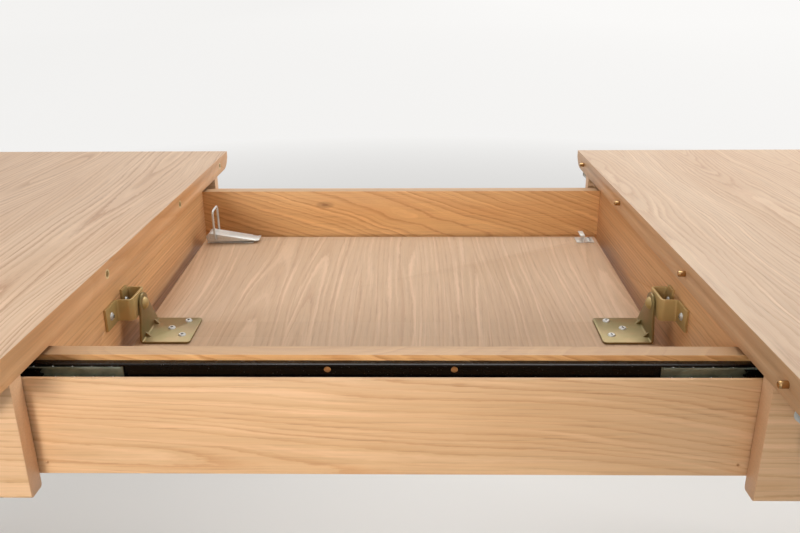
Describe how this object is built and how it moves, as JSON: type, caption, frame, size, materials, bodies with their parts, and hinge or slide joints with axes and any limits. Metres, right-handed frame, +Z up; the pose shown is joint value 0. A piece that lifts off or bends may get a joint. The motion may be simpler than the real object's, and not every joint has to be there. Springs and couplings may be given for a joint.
{
  "type": "extending dining table",
  "caption": "Wooden table whose split top slides apart on ball slides over a well that holds a folding leaf on pivots, with toggle latches and brass pins at the joint.",
  "frame": {"origin": "on the floor, under the middle of the table", "axes": "+X along the table to the half with the pins, +Y away from the viewer to the rear long side, +Z up; at rest the halves of the top are pulled apart and the leaf lies folded in the well"},
  "size_m": [1.865, 0.8, 0.75],
  "materials": {
    "oak_top": "fine straight-grained pale oak, matt lacquer",
    "oak_frame": "honey oak boards, satin lacquer",
    "oak_apron": "oak boards, satin lacquer",
    "raw_wood": "unfinished softwood",
    "black_steel": "black gloss pressed steel",
    "grey_steel": "pressed grey steel",
    "bright_steel": "polished balls",
    "gold_zinc": "yellow passivated zinc plate",
    "bright_zinc": "bright zinc plate",
    "brass": "plain turned brass",
    "glide": "dark brown nylon"
  },
  "bodies": {
    "centre_frame": {"front_rail": "oak_frame", "rear_rail": "oak_frame", "front_strip": "oak_frame", "rear_strip": "oak_frame", "slide_bearers": "raw_wood", "left_cross_rail": "oak_frame", "right_cross_rail": "oak_frame", "front_channel": "black_steel", "rear_channel": "black_steel", "pivot_straps": "gold_zinc", "frame_screws": "bright_zinc"},
    "left_half": {"left_top": "oak_top", "left_front_apron": "oak_apron", "left_rear_apron": "oak_apron", "left_end_apron": "oak_apron", "left_front_leg": "oak_apron", "left_rear_leg": "oak_apron", "left_corner_blocks": "raw_wood", "left_leg_bolts": "bright_zinc", "left_foot_glides": "glide", "left_runners": "black_steel", "left_screws": "bright_zinc", "pin_sockets": "brass", "left_hooks": "bright_zinc"},
    "right_half": {"right_top": "oak_top", "right_front_apron": "oak_apron", "right_rear_apron": "oak_apron", "right_end_apron": "oak_apron", "right_front_leg": "oak_apron", "right_rear_leg": "oak_apron", "right_corner_blocks": "raw_wood", "right_leg_bolts": "bright_zinc", "right_foot_glides": "glide", "right_runners": "black_steel", "right_screws": "bright_zinc", "alignment_pins": "brass", "right_latch_bases": "bright_zinc"},
    "left_cages": {"left_ball_cages": "grey_steel", "left_slide_balls": "bright_steel"},
    "right_cages": {"right_ball_cages": "grey_steel", "right_slide_balls": "bright_steel"},
    "leaf_upper": {"leaf_upper_panel": "oak_top", "pivot_plates": "gold_zinc", "pivot_rivets": "gold_zinc", "leaf_upper_screws": "bright_zinc", "fold_hinge_upper_leaves": "brass", "fold_hinge_pins": "brass", "leaf_upper_catches": "bright_zinc"},
    "leaf_lower": {"leaf_lower_panel": "oak_top", "leaf_lower_screws": "bright_zinc", "fold_hinge_lower_leaves": "brass", "leaf_lower_catches": "bright_zinc"},
    "right_front_latch_lever": {"right_front_latch_lever": "bright_zinc"},
    "right_front_latch_bail": {"right_front_latch_bail": "bright_zinc"},
    "right_rear_latch_lever": {"right_rear_latch_lever": "bright_zinc"},
    "right_rear_latch_bail": {"right_rear_latch_bail": "bright_zinc"},
    "leaf_upper_latch_lever": {"leaf_upper_latch_lever": "bright_zinc"},
    "leaf_upper_latch_bail": {"leaf_upper_latch_bail": "bright_zinc"},
    "leaf_lower_latch_lever": {"leaf_lower_latch_lever": "bright_zinc"},
    "leaf_lower_latch_bail": {"leaf_lower_latch_bail": "bright_zinc"}
  },
  "joints": [
    {"name": "left_half_slide", "type": "slide", "parent": "centre_frame", "child": "left_half", "axis": [1, 0, 0], "range_m": [0, 0.2823]},
    {"name": "right_half_slide", "type": "slide", "parent": "centre_frame", "child": "right_half", "axis": [-1, 0, 0], "range_m": [0, 0.2823]},
    {"name": "left_cage_slide", "type": "slide", "parent": "centre_frame", "child": "left_cages", "axis": [1, 0, 0], "range_m": [0, 0.14115]},
    {"name": "right_cage_slide", "type": "slide", "parent": "centre_frame", "child": "right_cages", "axis": [-1, 0, 0], "range_m": [0, 0.14115]},
    {"name": "leaf_swing", "type": "hinge", "parent": "centre_frame", "child": "leaf_upper", "pos_m": [0, -0.084, 0.689], "axis": [-1, 0, 0], "range_deg": [-177.4, 0]},
    {"name": "leaf_unfold", "type": "hinge", "parent": "leaf_upper", "child": "leaf_lower", "pos_m": [0, -0.16512, 0.62375], "axis": [1, 0, 0], "range_deg": [-170, 0]},
    {"name": "right_front_latch_lever_tip", "type": "hinge", "parent": "right_half", "child": "right_front_latch_lever", "pos_m": [0.294, -0.364, 0.7175], "axis": [0, -1, 0], "range_deg": [-90, 0]},
    {"name": "right_front_latch_bail_swing", "type": "hinge", "parent": "right_front_latch_lever", "child": "right_front_latch_bail", "pos_m": [0.3005, -0.364, 0.7185], "axis": [0, 1, 0], "range_deg": [-75, 90]},
    {"name": "right_rear_latch_lever_tip", "type": "hinge", "parent": "right_half", "child": "right_rear_latch_lever", "pos_m": [0.294, 0.364, 0.7175], "axis": [0, -1, 0], "range_deg": [-90, 0]},
    {"name": "right_rear_latch_bail_swing", "type": "hinge", "parent": "right_rear_latch_lever", "child": "right_rear_latch_bail", "pos_m": [0.3005, 0.364, 0.7185], "axis": [0, 1, 0], "range_deg": [-75, 90]},
    {"name": "leaf_upper_latch_lever_tip", "type": "hinge", "parent": "leaf_upper", "child": "leaf_upper_latch_lever", "pos_m": [-0.263, 0.19701, 0.67323], "axis": [0, 0.999, 0.0454], "range_deg": [-40, 0]},
    {"name": "leaf_upper_latch_bail_swing", "type": "hinge", "parent": "leaf_upper_latch_lever", "child": "leaf_upper_latch_bail", "pos_m": [-0.2565, 0.19705, 0.67223], "axis": [0, -0.999, -0.0454], "range_deg": [-75, 40]},
    {"name": "leaf_lower_latch_lever_tip", "type": "hinge", "parent": "leaf_lower", "child": "leaf_lower_latch_lever", "pos_m": [-0.263, 0.2, 0.6073], "axis": [0, -0.999, -0.0454], "range_deg": [-90, 0]},
    {"name": "leaf_lower_latch_bail_swing", "type": "hinge", "parent": "leaf_lower_latch_lever", "child": "leaf_lower_latch_bail", "pos_m": [-0.2565, 0.19995, 0.6083], "axis": [0, 0.999, 0.0454], "range_deg": [-75, 90]}
  ],
  "couplings": [
    {"joint": "left_cage_slide", "follows": "left_half_slide", "ratio": 0.5},
    {"joint": "right_cage_slide", "follows": "right_half_slide", "ratio": 0.5}
  ]
}
